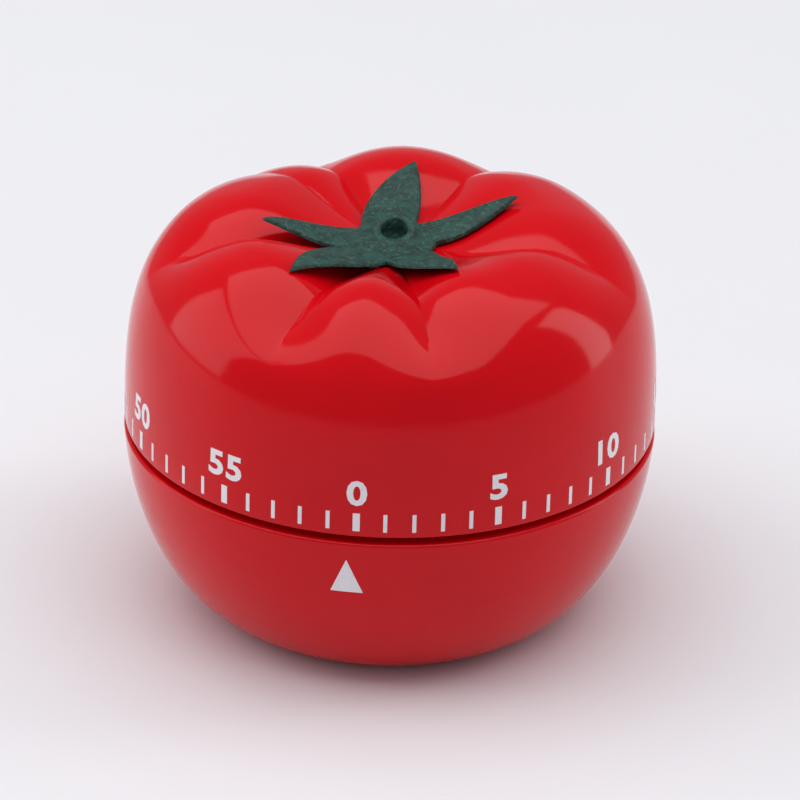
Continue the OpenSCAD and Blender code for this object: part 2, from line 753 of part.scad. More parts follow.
module second_arbor() color(steel)
    arbor(second_at, second_leaves, big_module, main_z - leaf_over, wheel_t + 2 * leaf_over,
        gap_towards(second_at, centre, second_leaves));

module second_wheel() color(brass)
    translate([0, 0, second_z])
        wheel(second_at, second_teeth, small_module, bearing(second_at, third_at), thin_t,
            arbor_r, window_count);

module third_arbor() color(steel)
    arbor(third_at, third_leaves, small_module, second_z - leaf_over, thin_t + 2 * leaf_over,
        gap_towards(third_at, second_at, third_leaves));

module third_wheel() color(brass)
    translate([0, 0, third_z])
        wheel(third_at, third_teeth, small_module, bearing(third_at, escape_at), thin_t,
            arbor_r, window_count);

module escape_arbor() color(steel)
    arbor(escape_at, escape_leaves, small_module, third_z - leaf_over, thin_t + 2 * leaf_over,
        gap_towards(escape_at, third_at, escape_leaves));

module escape_wheel() color(brass) {
    pitch = 360 / escape_teeth;
    translate([escape_at[0], escape_at[1], escape_z]) difference() {
        linear_extrude(thin_t) polygon([for (i = [0 : escape_teeth - 1])
            for (p = [[-escape_tooth, -0.3], [0, -0.05], [0, 0.05], [-escape_tooth, 0.1]])
                polar(escape_r + p[0], (i + p[1]) * pitch)]);
        bore(arbor_r, thin_t);
        for (i = [0 : window_count - 1]) rotate(360 / window_count * i)
            translate([escape_window_at_r, 0, 0]) bore(escape_window_r, thin_t);
    }
}

module pallet_arbor() color(steel)
    arbor(pallet_at, 0, small_module, 0, 0, 0);

module pallet_lever() color(steel)
    translate([0, 0, escape_z])
        anchor(pallet_at, escape_at, escape_r + pallet_gap, pallet_pitches * 360 / escape_teeth,
            thin_t, arbor_r);

module balance_bar() color(brass) {
    across = bearing(centre, pallet_at) + 90;
    translate([pallet_at[0], pallet_at[1], star_z + balance_rise]) rotate(across) difference() {
        union() {
            translate([-balance_l / 2, -balance_w / 2, 0]) cube([balance_l, balance_w, balance_t]);
            for (side = [-1, 1]) translate([side * weight_at_r, 0, (balance_t - weight_h) / 2])
                cylinder(r = weight_r, h = weight_h);
            cylinder(r = balance_hub_r, h = balance_hub_h);
        }
        bore(arbor_r, balance_hub_h);
    }
}

// ---- bell train ------------------------------------------------------------------------------

module alarm_arbor() color(steel)
    arbor(alarm_at, alarm_leaves, big_module, barrel_z - leaf_over + 0.1, barrel_floor_t + 2 * leaf_over,
        gap_towards(alarm_at, centre, alarm_leaves));

module alarm_wheel() color(brass)
    translate([0, 0, alarm_z])
        wheel(alarm_at, alarm_teeth, small_module, bearing(alarm_at, star_at), thin_t,
            arbor_r, window_count);

module star_arbor() color(steel)
    arbor(star_at, star_leaves, small_module, alarm_z - leaf_over, thin_t + 2 * leaf_over,
        gap_towards(star_at, alarm_at, star_leaves));

module star_wheel() color(brass) {
    pitch = 360 / star_teeth;
    translate([star_at[0], star_at[1], star_z]) difference() {
        linear_extrude(wheel_t) polygon([for (i = [0 : star_teeth - 1])
            for (p = [[-star_tooth, -0.3], [0, -0.06], [0, 0.06], [-star_tooth, 0.3]])
                polar(star_r + p[0], (i + p[1]) * pitch)]);
        bore(arbor_r, wheel_t);
    }
}

module hammer_arbor() color(steel) {
    finger = hammer_at + polar(finger_l, bearing(hammer_at, lever_at));
    translate([hammer_at[0], hammer_at[1], 0]) {
        translate([0, 0, hammer_z]) cylinder(r = arbor_r, h = upper_bottom - end_play - hammer_z);
        translate([0, 0, upper_bottom - cut]) cylinder(r = pivot_r, h = cut + plate_t + pivot_over);
    }
    // Finger that the release lever holds
    translate([0, 0, lock_z]) bar(hammer_at, finger, finger_w, thin_t);
}

module hammer_anchor() color(steel)
    translate([0, 0, star_z])
        anchor(hammer_at, star_at, star_r + star_gap, star_half_span, wheel_t, arbor_r);

module hammer() color(steel) {
    difference() {
        union() {
            translate([0, 0, hammer_rod_z]) bar(hammer_at, head_at, hammer_rod_w, hammer_rod_w);
            translate([hammer_at[0], hammer_at[1], hammer_z]) cylinder(r = hammer_hub_r, h = hammer_hub_h);
            translate([head_at[0], head_at[1], hammer_z]) cylinder(r = head_r, h = head_h);
        }
        translate([hammer_at[0], hammer_at[1], hammer_z]) bore(arbor_r, hammer_hub_h);
    }
}

module release_lever() color(steel) {
    nose = polar(nose_at_r, nose_angle);
    catch_l = norm(lever_at - hammer_at) - finger_l - boss_share * (finger_w + lever_w) / 2 - lock_gap;
    catch = lever_at + polar(catch_l, bearing(lever_at, hammer_at));
    translate([lever_at[0], lever_at[1], plate_z - pivot_over])
        cylinder(r = arbor_r, h = cam_z + cam_t - plate_z + pivot_over);
    translate([lever_at[0], lever_at[1], cam_z]) rotate(bearing(lever_at, nose))
        translate([0, -arm_w / 2, 0]) cube([lever_reach - arm_end_gap, arm_w, cam_t]);
    translate([nose[0], nose[1], cam_z]) cylinder(r = nose_r, h = cam_t);
    translate([lever_at[0], lever_at[1], cam_z]) cylinder(r = lever_w, h = cam_t);
    translate([0, 0, lock_z]) bar(lever_at, catch, lever_w, thin_t);
}

// Leaf spring on the upper plate that presses the release lever towards the cam
module release_spring() color(steel) {
    nose = polar(nose_at_r, nose_angle);
    along = bearing(lever_at, nose);
    offset_w = arm_w / 2 + spring_leaf_gap;
    translate([lever_at[0], lever_at[1], 0]) rotate(along) {
        translate([lever_reach * spring_foot_share, -offset_w - spring_leaf_t, 0]) {
            translate([0, spring_post_in - spring_post_r, upper_top])
                cylinder(r = spring_post_r, h = cam_z - upper_top + cam_t);
            translate([0, 0, cam_z]) cube([lever_reach * spring_leaf_share, spring_leaf_t, cam_t]);
        }
    }
}

// ---- bell ------------------------------------------------------------------------------------

// Point of the bell's rounded corner, at distance r from the middle of its bend
function bend_point(r, a) = [bell_r - bell_bend + r * cos(a), bell_z + bell_bend + r * sin(a)];

module bell() color(steel) {
    arc = [for (a = [-90 : 10 : 0]) bend_point(bell_bend, a)];
    inner = [for (a = [0 : -10 : -90]) bend_point(bell_bend - bell_wall, a)];
    rotate_extrude($fn = 96) polygon(concat([[bell_bore_r, bell_z]], arc, [[bell_r, bell_z + bell_h],
        [bell_r - bell_wall, bell_z + bell_h]], inner, [[bell_bore_r, bell_z + bell_wall]]));
}

module bell_post() color(brass)
    translate([0, 0, floor_t]) ring(bell_foot_r, bell_bore_r, bell_z - floor_t);

module bell_screw() color(steel) {
    head_z = bell_z + bell_wall;
    difference() {
        union() {
            translate([0, 0, head_z]) cylinder(r = bell_head_r, h = bell_head_t);
            translate([0, 0, bell_screw_z]) cylinder(r = bell_screw_r, h = head_z);
        }
        translate([-bell_head_r - cut, -bell_slot_w / 2, head_z + bell_head_t - bell_slot_w])
            cube([2 * (bell_head_r + cut), bell_slot_w, bell_slot_w + cut]);
    }
}

lower_shell();
upper_shell();
calyx();
mounting_screws();
lower_plate();
upper_plate();
frame_pillars();
plate_screws();
main_shaft();
barrel();
barrel_cover();
mainspring();
barrel_spacer();
main_wheel();
click_pawls();
ratchet_wheel();
cam_disc();
second_arbor();
second_wheel();
third_arbor();
third_wheel();
escape_arbor();
escape_wheel();
pallet_arbor();
pallet_lever();
balance_bar();
alarm_arbor();
alarm_wheel();
star_arbor();
star_wheel();
hammer_arbor();
hammer_anchor();
hammer();
release_lever();
release_spring();
bell();
bell_post();
bell_screw();
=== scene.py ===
"""Tomato kitchen timer: moulded skins, leaf star, printed scale, finishes and stage round the frame."""
import json
import math

import bpy
import numpy as np
from bpy.props import FloatProperty, FloatVectorProperty, IntProperty, PointerProperty
from mathutils import Matrix, Vector


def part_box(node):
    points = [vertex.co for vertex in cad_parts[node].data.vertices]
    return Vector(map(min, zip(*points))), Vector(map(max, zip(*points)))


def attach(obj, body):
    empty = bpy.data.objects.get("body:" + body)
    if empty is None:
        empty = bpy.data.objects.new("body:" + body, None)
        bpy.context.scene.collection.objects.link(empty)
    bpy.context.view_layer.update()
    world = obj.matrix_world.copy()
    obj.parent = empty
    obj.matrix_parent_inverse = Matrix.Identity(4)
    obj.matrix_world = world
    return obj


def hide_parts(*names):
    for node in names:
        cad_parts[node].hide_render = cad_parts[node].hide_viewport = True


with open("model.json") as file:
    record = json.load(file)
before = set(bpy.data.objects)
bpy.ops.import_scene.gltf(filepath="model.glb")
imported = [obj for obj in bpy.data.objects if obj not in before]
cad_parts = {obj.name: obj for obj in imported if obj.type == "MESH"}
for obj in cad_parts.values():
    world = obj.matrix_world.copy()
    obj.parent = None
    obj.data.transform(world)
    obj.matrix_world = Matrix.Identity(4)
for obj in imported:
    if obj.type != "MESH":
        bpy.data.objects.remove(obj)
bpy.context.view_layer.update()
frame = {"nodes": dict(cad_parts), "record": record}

bl_info = {
    "name": "Tomato Kitchen Timer",
    "version": (1, 0, 0),
    "blender": (4, 5, 0),
    "location": "3D View > Sidebar > Timer",
    "description": "Builds the skins, printing, leaves and finishes of a tomato-shaped kitchen timer",
    "category": "Object",
}

MM = 0.001
BASE_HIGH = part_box("lower_shell")[1]
DIAL_LOW, DIAL_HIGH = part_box("upper_shell")

# Shape of the mouldings, the same as in the frame's own solids
FOOT_R = 21.0 * MM
RIM_Z = 24.6 * MM
LIP_TOP_Z = BASE_HIGH.z
LIP_GAP = 0.5 * MM
LIP_T = 1.2 * MM
FLOOR_T = 2.0 * MM
BASE_TOP_Z = RIM_Z + 1.5 * MM
BASE_POWER = 1.84
BASE_EDGE_R = 0.5 * MM
BASE_STEPS = 64
BASE_COLUMNS = 256
LIP_ROOT = 2.0 * MM
DIAL_EDGE_R = 0.25 * MM
DIAL_OUTER_STEPS = 76
DIAL_INNER_STEPS = 30
SKIRT_END_ANGLE = 86.0
MIDDLE_R = 0.3 * MM
CROWN_FLAT_R = 5.2 * MM
DIAL_HEIGHT_POWER = 3.09
DIAL_RADIUS_POWER = 4.2
DIMPLE_FLAT_R = 5.0 * MM
DIMPLE_R = 21.0 * MM

# Creases: bearing in degrees and share of the full depth; each side spreads over the same angle
CREASES = ((71.0, 0.72), (122.0, 0.9), (144.0, 0.42), (197.0, 0.95),
           (251.0, 1.0), (290.0, 0.95), (355.0, 0.6))
CREASE_SPREAD = 26.0
CREASE_POWER = 2.0
CREASE_START_R = 3.0 * MM
CREASE_FULL_R = 17.0 * MM
# Shares of the crown's height where a crease starts and where it is full
CREASE_LOW = 0.68
CREASE_HIGH = 0.94

# Screw bosses in the base, and the hub under the dial
MOUNT_R = 17.8 * MM
MOUNT_ANGLES = (37.5, 157.5, 277.5)
BOSS_R = 2.7 * MM
BOSS_TOP_Z = 13.0 * MM
RECESS_R = 2.2 * MM
RECESS_T = 1.5 * MM
BORE_R = 1.15 * MM
POST_HOLE_R = 1.3 * MM
POST_HOLE_Z = 0.6 * MM
HUB_R = 4.2 * MM
HUB_Z = 37.0 * MM
SOCKET_R = 2.55 * MM
SOCKET_FLAT = 1.95 * MM
SOCKET_ROOF = 2.0 * MM
HUB_COLUMNS = 96
ROD_COLUMNS = 48
PEG_R = 2.0 * MM
PEG_L = 2.2 * MM

# Leaves: bearing of the tip in degrees, length, the angles that the root spreads over to either side of
# the tip, and how far the tip stands above the crown
LEAVES = ((29, 17 * MM, 30, 34, 0.6 * MM), (91, 17.2 * MM, 23, 62, 0.0), (197, 17.3 * MM, 34, 34, 0.0),
          (240, 20.5 * MM, 34, 46, -1.0 * MM), (308, 17.3 * MM, 50, 28, 0.0))
LEAF_ROOT_R = 5.6 * MM
LEAF_POWER = 1.5
LEAF_RISE_POWER = 3
LEAF_LIFT = 0.3 * MM
LEAF_TAPER = 0.4
LEAF_EDGE_POWER = 16
LEAF_STEPS = 44
LEAF_COLUMNS = 600
# Rib along the middle of each leaf: its height, and the share of the leaf's half width that it leaves flat
RIB_HEIGHT = 0.35 * MM
RIB_START = 0.55
STEM_R = 3.4 * MM
# Stem stub from the bottom of its hole over the rim to its foot: radius, and height above the leaves
STEM_LINE = MM * np.array([[1.45, -1.2], [1.75, -0.8], [1.75, 0.0], [1.75, 0.9], [1.85, 1.1], [2.1, 1.28],
                           [2.45, 1.3], [2.7, 1.15], [2.8, 0.9], [2.85, 0.6], [3.05, 0.25]])
# The stub is cut aslant: its height is the middle share, more by the swing behind and less in front
STEM_MIDDLE = 0.7
STEM_SWING = 0.6

# Heights of the printing
TICK_Z = 27.7 * MM
POINTER_Z = 17.1 * MM
# Heavier strokes and wider spacing of the digits, both as shares of the letter size
STROKE_GAIN = 0.032
DIGIT_SPACING = 1.08
# The triangle's tip is cut off at this share of its width
POINTER_TIP = 0.015

# Soft rectangular lights: name, place, width and height, watts
PANELS = (
    ("overhead_panel", (0.0, 0.0, 1.15), (1.7, 1.3), 13.0),
    ("left_panel", (-0.9, -0.1, 0.45), (0.7, 0.9), 3.4),
    ("right_panel", (0.9, 0.35, 0.4), (0.3, 0.9), 2.4),
)
PANEL_AIM = (0.0, 0.0, 0.03)
SKY_COLOUR = (0.90, 0.92, 1.0, 1.0)
SKY_STRENGTH = 0.32
TABLE_HALF = 4.0

# Camera: lens and sensor width in millimetres, place round the scale's middle, and three trimming turns
LENS = 220.87
SENSOR = 36.0
CAMERA_AZIMUTH = 9.8
CAMERA_ELEVATION = 27.22
CAMERA_DISTANCE = 0.6443
CAMERA_TURNS = (0.116, -0.037, -1.441)

# Finish slot of every solid of the frame
NODE_SLOTS = {row["node"]: row["material_slot"] for row in frame["record"]["subparts"]}


# ---- sizes and colours that a user would change ------------------------------------------------

class TimerSizes(bpy.types.PropertyGroup):
    """Sizes of the moulded skins and of the printing"""
    rim_radius: FloatProperty(name="Rim radius", description="Radius of the base at its rim",
                              default=BASE_HIGH.x, min=0.03, max=0.04, unit="LENGTH")
    dial_radius: FloatProperty(name="Dial radius", description="Radius of the dial at its lower edge",
                               default=DIAL_HIGH.x, min=0.03, max=0.04, unit="LENGTH")
    crown_height: FloatProperty(name="Crown height", description="Dial crown above the dial's lower edge",
                                default=28.8 * MM, min=0.02, max=0.035, unit="LENGTH")
    wall: FloatProperty(name="Wall", description="Wall of both mouldings", default=1.8 * MM,
                        min=0.001, max=0.003, unit="LENGTH")
    crease_depth: FloatProperty(name="Crease depth", description="Depth of the creases between the lobes",
                                default=3.0 * MM, min=0.0, max=0.004, unit="LENGTH")
    dimple_depth: FloatProperty(name="Dimple depth", description="How far the middle of the dial dips",
                                default=4.4 * MM, min=0.0, max=0.006, unit="LENGTH")
    columns: IntProperty(name="Columns", description="Mesh columns round the dial",
                         default=420, min=60, max=720)
    base_wall: FloatProperty(name="Base wall", description="Wall of the base", default=2.0 * MM,
                             min=0.001, max=0.003, unit="LENGTH")
    leaf_thickness: FloatProperty(name="Leaf thickness", description="Thickness of the leaves at their roots",
                                  default=1.0 * MM, min=0.0005, max=0.002, unit="LENGTH")
    tick_height: FloatProperty(name="Tick height", description="Height of the minute ticks",
                               default=2.5 * MM, min=0.001, max=0.005, unit="LENGTH")
    minor_width: FloatProperty(name="Minute tick width", description="Width of the one-minute ticks",
                               default=0.5 * MM, min=0.0002, max=0.002, unit="LENGTH")
    major_width: FloatProperty(name="Five-minute tick width", description="Width of the five-minute ticks",
                               default=0.9 * MM, min=0.0002, max=0.003, unit="LENGTH")
    digit_height: FloatProperty(name="Digit height", description="Height of the minute numbers",
                                default=3.5 * MM, min=0.002, max=0.006, unit="LENGTH")
    digit_rise: FloatProperty(name="Digit rise", description="Middle of the numbers above that of the ticks",
                              default=4.05 * MM, min=0.003, max=0.008, unit="LENGTH")
    digit_stretch: FloatProperty(name="Digit stretch", description="How much wider the numbers are drawn",
                                 default=1.14, min=0.7, max=1.4)
    pointer_bearing: FloatProperty(name="Pointer bearing", description="Bearing of the mark on the base",
                                   default=math.radians(-88.5), subtype="ANGLE", unit="ROTATION")
    pointer_width: FloatProperty(name="Pointer width", description="Width of the pointer mark at its foot",
                                 default=4.3 * MM, min=0.002, max=0.008, unit="LENGTH")
    pointer_height: FloatProperty(name="Pointer height", description="Height of the pointer mark",
                                  default=5.0 * MM, min=0.002, max=0.008, unit="LENGTH")
    ink_height: FloatProperty(name="Ink height", description="How far the ink stands off the plastic",
                              default=0.03 * MM, min=0.0, max=0.0002, unit="LENGTH")
    zero_bearing: FloatProperty(name="Zero bearing", description="Bearing of the zero tick at rest",
                                default=math.radians(-86.55), subtype="ANGLE", unit="ROTATION")


class TimerColours(bpy.types.PropertyGroup):
    """Colours of the timer's finishes"""
    tomato: FloatVectorProperty(name="Tomato red", description="Colour of the dial and the base",
                                default=(0.62, 0.0015, 0.006), subtype="COLOR", min=0.0, max=1.0)
    leaf: FloatVectorProperty(name="Leaf green", description="Colour of the leaf star",
                              default=(0.007, 0.046, 0.034), subtype="COLOR", min=0.0, max=1.0)
    ink: FloatVectorProperty(name="Ink white", description="Colour of the printed scale",
                             default=(0.84, 0.80, 0.84), subtype="COLOR", min=0.0, max=1.0)
    table: FloatVectorProperty(name="Table", description="Colour of the table top",
                               default=(0.80, 0.80, 0.82), subtype="COLOR", min=0.0, max=1.0)


def sizes():
    return bpy.context.scene.timer_sizes


def colours():
    return bpy.context.scene.timer_colours


# ---- arrays and meshes --------------------------------------------------------------------------

def smooth(x):
    """Smooth step from 0 to 1: 3 x squared less 2 x cubed, held outside 0 to 1."""
    x = np.clip(x, 0.0, 1.0)
    return x * x * (3.0 - 2.0 * x)


def band_faces(rows, columns, first=0):
    """Quads between neighbouring rings of points, closed round the ring; ring 0 first, bearings rising."""
    row, column = np.meshgrid(np.arange(rows - 1), np.arange(columns), indexing="ij")
    after = (column + 1) % columns
    quads = np.stack([row * columns + column, row * columns + after,
                      (row + 1) * columns + after, (row + 1) * columns + column], axis=-1)
    return quads.reshape(-1, 4) + first


def closed_skin(rings, flip=False):
    """Points and faces of a closed skin: rings joined in order, and a fan that closes each end ring."""
    rows, columns = rings.shape[:2]
    points = np.concatenate([rings.reshape(-1, 3), rings[0].mean(0)[None], rings[-1].mean(0)[None]])
    k = np.arange(columns)
    after = (k + 1) % columns
    start = np.stack([np.full(columns, rows * columns), after, k], axis=-1)
    last = (rows - 1) * columns
    end = np.stack([np.full(columns, rows * columns + 1), last + k, last + after], axis=-1)
    faces = [f[::-1] if flip else f for f in
             band_faces(rows, columns).tolist() + start.tolist() + end.tolist()]
    return points, faces


def joined(parts):
    """Several (points, faces) pairs as one, with the later faces' numbers moved on."""
    points = np.concatenate([p for p, _ in parts])
    starts = np.cumsum([0] + [len(p) for p, _ in parts[:-1]])
    faces = [[int(i) + int(s) for i in f] for s, (_, fs) in zip(starts, parts) for f in fs]
    return points, faces


def piece(name, points, faces, body, finish, replaced=(), smooth_angle=40.0):
    """A shaded mesh object at the origin that rides on a body of the frame."""
    mesh = bpy.data.meshes.new(name)
    mesh.from_pydata(points.tolist(), [], faces if isinstance(faces, list) else faces.tolist())
    mesh.validate()
    mesh.materials.append(finish)
    obj = bpy.data.objects.new(name, mesh)
    bpy.context.scene.collection.objects.link(obj)
    mesh.shade_smooth()
    mesh.set_sharp_from_angle(angle=math.radians(smooth_angle))
    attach(obj, body)
    if replaced:
        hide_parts(*replaced)
    return obj


# ---- outlines of the mouldings ------------------------------------------------------------------

def base_radius(z):
    """Base outline: a superellipse in radius and height, from the foot radius to its widest above the rim."""
    u = np.clip(BASE_TOP_Z - z, 0.0, BASE_TOP_Z) / BASE_TOP_Z
    return FOOT_R + (sizes().rim_radius - FOOT_R) * (1.0 - u ** BASE_POWER) ** (1.0 / BASE_POWER)


def dip(r):
    """Depth of the dimple at radius r: full over the flat middle, then a smooth step up to the crown."""
    return sizes().dimple_depth * (1.0 - smooth((r - DIMPLE_FLAT_R) / (DIMPLE_R - DIMPLE_FLAT_R)))


def crown_z(r):
    """Height of the dial's crown line at radius r: a superellipse above the lower edge, less the dimple."""
    k = np.clip((r - CROWN_FLAT_R) / (sizes().dial_radius - CROWN_FLAT_R), 0.0, 1.0)
    top = sizes().crown_height * (1.0 - k ** DIAL_RADIUS_POWER) ** (1.0 / DIAL_HEIGHT_POWER)
    return DIAL_LOW.z + top - dip(r)


def dial_line(steps):
    """Dial outline from the lower edge to the middle, as radius and height.

    The skirt and crown follow a superellipse by its angle, and the middle the crown line at falling radii.
    """
    angle = np.radians(np.linspace(0.0, SKIRT_END_ANGLE, steps))
    r = CROWN_FLAT_R + (sizes().dial_radius - CROWN_FLAT_R) * np.cos(angle) ** (2.0 / DIAL_RADIUS_POWER)
    z = DIAL_LOW.z + sizes().crown_height * np.sin(angle) ** (2.0 / DIAL_HEIGHT_POWER) - dip(r)
    inner_r = np.linspace(r[-1], MIDDLE_R, steps // 2)[1:]
    return np.concatenate([r, inner_r]), np.concatenate([z, crown_z(inner_r)])


def lobe_columns(count):
    """Bearings round the dial, evenly spaced from each crease to the next, with one along every crease."""
    starts = [bearing for bearing, _ in CREASES]
    bearings = []
    for start, end in zip(starts, starts[1:] + [starts[0] + 360.0]):
        n = round(count * (end - start) / 360.0)
        bearings.append(np.linspace(start, end, n, endpoint=False))
    return np.radians(np.concatenate(bearings))


def crease_share(bearing):
    """Share of the full depth at a bearing: the sum of the creases' sides, each falling by a power."""
    total = np.zeros_like(bearing)
    for at, share in CREASES:
        away = np.abs((np.degrees(bearing) - at + 180.0) % 360.0 - 180.0)
        total += share * np.clip(1.0 - away / CREASE_SPREAD, 0.0, 1.0) ** CREASE_POWER
    return total


def crease_fade(r, z):
    """Strength of a crease along the outline: none at the middle, full on the crown, gone on the shoulder."""
    share = (z + dip(r) - DIAL_LOW.z) / sizes().crown_height
    start = smooth((r - CREASE_START_R) / (CREASE_FULL_R - CREASE_START_R))
    return start * smooth((share - CREASE_LOW) / (CREASE_HIGH - CREASE_LOW))


def turned(r, z, bearing):
    """Rings of points: each (radius, height) carried round the axis."""
    return np.stack([r * np.cos(bearing), r * np.sin(bearing), z + 0.0 * bearing], axis=-1)


def revolved(line, count):
    """Rings of points from a list of (radius, height) pairs carried round the axis in equal steps."""
    bearing = np.linspace(0.0, 2.0 * math.pi, count, endpoint=False)
    return turned(line[:, :1], line[:, 1:], bearing)


def dial_rings(steps, count, inset):
    """Rings of the dial's surface: the outline moved in along its normal by inset and the creases' depth."""
    r, z = dial_line(steps)
    dr, dz = np.gradient(r), np.gradient(z)
    length = np.hypot(dr, dz)
    normal_r, normal_z = dz / length, -dr / length
    normal_r[0], normal_z[0] = 1.0, 0.0
    bearing = lobe_columns(count)
    depth = inset + sizes().crease_depth * crease_fade(r, z)[:, None] * crease_share(bearing)[None]
    return turned(r[:, None] - normal_r[:, None] * depth, z[:, None] - normal_z[:, None] * depth, bearing)


def arc(centre, radius, start, end, steps):
    """Points (radius, height) along a round corner between two angles in degrees."""
    angle = np.radians(np.linspace(start, end, steps))
    return np.stack([centre[0] + radius * np.cos(angle), centre[1] + radius * np.sin(angle)], axis=-1)


def on_skirt(across, height, lift):
    """Points on the dial's skirt: arc length across from +X, height, and lift off the surface."""
    u = np.clip((height - DIAL_LOW.z) / sizes().crown_height, 0.0, 1.0)
    k = (1.0 - u ** DIAL_HEIGHT_POWER) ** (1.0 / DIAL_RADIUS_POWER)
    r = CROWN_FLAT_R + (sizes().dial_radius - CROWN_FLAT_R) * k + lift
    return turned(r, height, across / sizes().dial_radius)


def on_base(across, height, lift):
    """Points on the base's side: arc length across from +X, height, and lift off the surface."""
    return turned(base_radius(height) + lift, height, across / sizes().rim_radius)


# ---- shader maths -------------------------------------------------------------------------------

class Value:
    """A number socket that can be used in sums: each operator adds the Math node that it stands for."""

    def __init__(self, recipe, socket):
        self.recipe, self.socket = recipe, socket

    def _with(self, operation, *inputs):
        node = self.recipe.node("ShaderNodeMath", {"operation": operation}, dict(enumerate(inputs)))
        return Value(self.recipe, node.outputs[0])

    def __add__(self, other):
        return self._with("ADD", self, other)

    def __radd__(self, other):
        return self._with("ADD", other, self)

    def __sub__(self, other):
        return self._with("SUBTRACT", self, other)

    def __rsub__(self, other):
        return self._with("SUBTRACT", other, self)

    def __mul__(self, other):
        return self._with("MULTIPLY", self, other)

    def __rmul__(self, other):
        return self._with("MULTIPLY", other, self)

    def step_between(self, low, high):
        """0 below low, 1 above high, smooth in between."""
        node = self.recipe.node("ShaderNodeMapRange", {"interpolation_type": "SMOOTHSTEP"},
                                {"Value": self, "From Min": low, "From Max": high})
        return Value(self.recipe, node.outputs[0])


class Recipe:
    """A material's node tree, with one way to add a node."""

    def __init__(self, name):
        self.material = bpy.data.materials.new(name)
        self.material.use_nodes = True
        self.tree = self.material.node_tree
        self.shader = self.tree.nodes["Principled BSDF"]

    def node(self, kind, settings=None, inputs=None):
        made = self.tree.nodes.new(kind)
        for key, value in (settings or {}).items():
            setattr(made, key, value)
        self.feed(made, inputs or {})
        return made

    def feed(self, made, inputs):
        for key, value in inputs.items():
            if isinstance(value, Value):
                value = value.socket
            if isinstance(value, bpy.types.NodeSocket):
                self.tree.links.new(value, made.inputs[key])
            else:
                made.inputs[key].default_value = value

    def place(self, scale=(1.0, 1.0, 1.0)):
        """The surface point in metres, stretched by scale."""
        coordinates = self.node("ShaderNodeTexCoord")
        made = self.node("ShaderNodeMapping", {}, {"Vector": coordinates.outputs["Object"], "Scale": scale})
        return made.outputs[0]

    def noise(self, size, detail=2.0, roughness=0.5, stretch=(1.0, 1.0, 1.0)):
        """Cloudy noise from 0 to 1 with lumps about size metres across."""
        made = self.node("ShaderNodeTexNoise", {}, {
            "Vector": self.place(stretch), "Scale": 1.0 / size, "Detail": detail, "Roughness": roughness})
        return Value(self, made.outputs["Fac"])

    def cells(self, size):
        """Distance to the nearest cell centre, in cells about size metres across."""
        made = self.node("ShaderNodeTexVoronoi", {}, {"Vector": self.place(), "Scale": 1.0 / size})
        return Value(self, made.outputs["Distance"])

    def blend(self, share, first, second):
        """Colour from first to second by share."""
        made = self.node("ShaderNodeMix", {"data_type": "RGBA"}, {"Factor": share, 6: first, 7: second})
        return made.outputs[2]

    def relief(self, height, depth, strength=1.0):
        """Bump of the given depth in metres, fed to the normal."""
        made = self.node("ShaderNodeBump", {}, {"Height": height, "Distance": depth, "Strength": strength})
        self.feed(self.shader, {"Normal": made.outputs[0]})


def rgba(colour, gain=1.0):
    return tuple(min(1.0, c * gain) for c in colour[:3]) + (1.0,)


def tomato_plastic(name):
    """Polished red moulding: faint colour clouds, a soft ripple, fine grain and specks of dull dust."""
    red = tuple(colours().tomato)
    m = Recipe(name)
    clouds = m.noise(14 * MM, 3.0)
    ripple = m.noise(3.2 * MM, 1.0)
    grain = m.noise(0.35 * MM, 2.0)
    dust = m.cells(1.1 * MM).step_between(0.05, 0.16)
    m.feed(m.shader, {
        "Base Color": m.blend(clouds, rgba(red, 0.92), rgba(red, 1.08)),
        "Roughness": 0.09 + 0.04 * clouds + 0.03 * (1.0 - dust),
        "Specular IOR Level": 0.20,
    })
    m.relief(ripple * 0.8 + grain * 0.06, 0.02 * MM)
    return m.material


def leaf_plastic():
    """Matte green moulding with a dark mottle, pale flecks and a rough, dimpled skin."""
    green = tuple(colours().leaf)
    m = Recipe("leaf_plastic")
    mottle = m.noise(1.3 * MM, 4.0, 0.65)
    flecks = m.noise(0.55 * MM, 2.0).step_between(0.56, 0.68)
    pits = m.cells(0.55 * MM)
    base = m.blend(mottle.step_between(0.35, 0.65), rgba(green, 0.6), rgba(green, 1.5))
    m.feed(m.shader, {
        "Base Color": m.blend(flecks * 0.4, base, rgba((0.09, 0.17, 0.15))),
        "Roughness": 0.50 + 0.2 * mottle,
        "IOR": 1.46,
    })
    m.relief(pits * 0.6 + mottle * 0.7 + flecks * 0.2, 0.12 * MM)
    return m.material


def print_ink(name):
    """Pad-printed white ink, a little uneven in tone, gloss and thickness."""
    white = tuple(colours().ink)
    m = Recipe(name)
    wear = m.noise(0.6 * MM, 3.0)
    m.feed(m.shader, {
        "Base Color": m.blend(wear.step_between(0.2, 0.5), rgba(white, 0.90), rgba(white)),
        "Roughness": 0.32 + 0.12 * wear,
    })
    m.relief(wear, 0.01 * MM)
    return m.material


def turned_metal(name, colour, roughness, stretch, tarnish):
    """Worked metal: fine tool lines along one direction, clouds of tarnish that dull and darken it."""
    m = Recipe(name)
    lines = m.noise(0.5 * MM, 3.0, 0.6, stretch)
    clouds = m.noise(4 * MM, 3.0).step_between(0.35, 0.8)
    m.feed(m.shader, {
        "Base Color": m.blend(clouds * tarnish, rgba(colour), rgba(colour, 0.55)),
        "Metallic": 1.0,
        "Roughness": roughness + 0.15 * lines + 0.12 * clouds,
    })
    m.relief(lines, 0.008 * MM)
    return m.material


